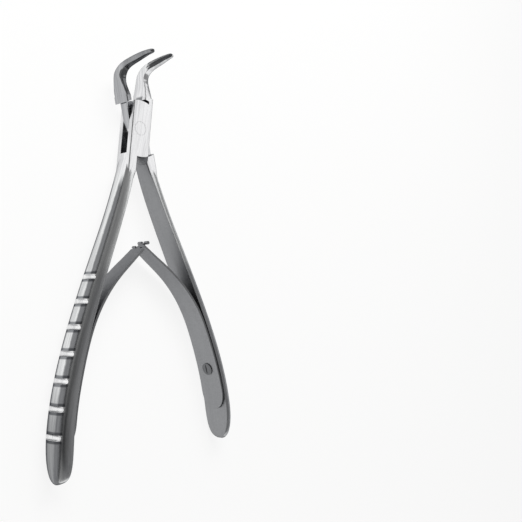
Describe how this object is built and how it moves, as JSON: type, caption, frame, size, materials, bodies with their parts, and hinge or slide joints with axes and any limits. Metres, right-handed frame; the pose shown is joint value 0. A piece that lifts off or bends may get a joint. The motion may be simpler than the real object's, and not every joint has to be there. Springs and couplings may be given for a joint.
{
  "type": "bone rongeur",
  "caption": "Hand-held bone rongeur with box joint, cupped jaws bent nearly square to the handles, grooved handles and interlocking leaf springs.",
  "frame": {"origin": "on the joint axis, on the underside of the box joint", "axes": "+Z along the joint axis, the way the jaws bend; +Y from the joint towards the jaws; +X across, towards the male arm's handle"},
  "size_m": [0.0886, 0.156, 0.0251],
  "materials": {
    "satin_steel": "satin",
    "spring_steel": "fine brushed",
    "screw_steel": "turned"
  },
  "bodies": {
    "female_side": {"female_arm": "satin_steel", "pivot_pin": "satin_steel", "spring_screw_left": "screw_steel"},
    "male_side": {"male_arm": "satin_steel", "spring_screw_right": "screw_steel"},
    "left_leaf": {"leaf_spring_left": "spring_steel"},
    "right_leaf": {"leaf_spring_right": "spring_steel"}
  },
  "joints": [
    {"name": "box_joint", "type": "hinge", "parent": "female_side", "child": "male_side", "pos_m": [0, 0, 0], "axis": [0, 0, -1], "range_deg": [0, 19.2], "stiffness_Nm_per_rad": 1.5},
    {"name": "left_leaf_bend", "type": "hinge", "parent": "female_side", "child": "left_leaf", "pos_m": [-0.0291, -0.07911, 0.0038], "axis": [0, 0, 1], "range_deg": [0, 11.5], "deforming": ["leaf_spring_left"]},
    {"name": "right_leaf_bend", "type": "hinge", "parent": "male_side", "child": "right_leaf", "pos_m": [0.0291, -0.07911, 0.0038], "axis": [0, 0, -1], "range_deg": [0, 11.5], "deforming": ["leaf_spring_right"]}
  ],
  "couplings": [
    {"joint": "left_leaf_bend", "follows": "box_joint", "ratio": 0.575},
    {"joint": "right_leaf_bend", "follows": "box_joint", "ratio": 0.575}
  ]
}
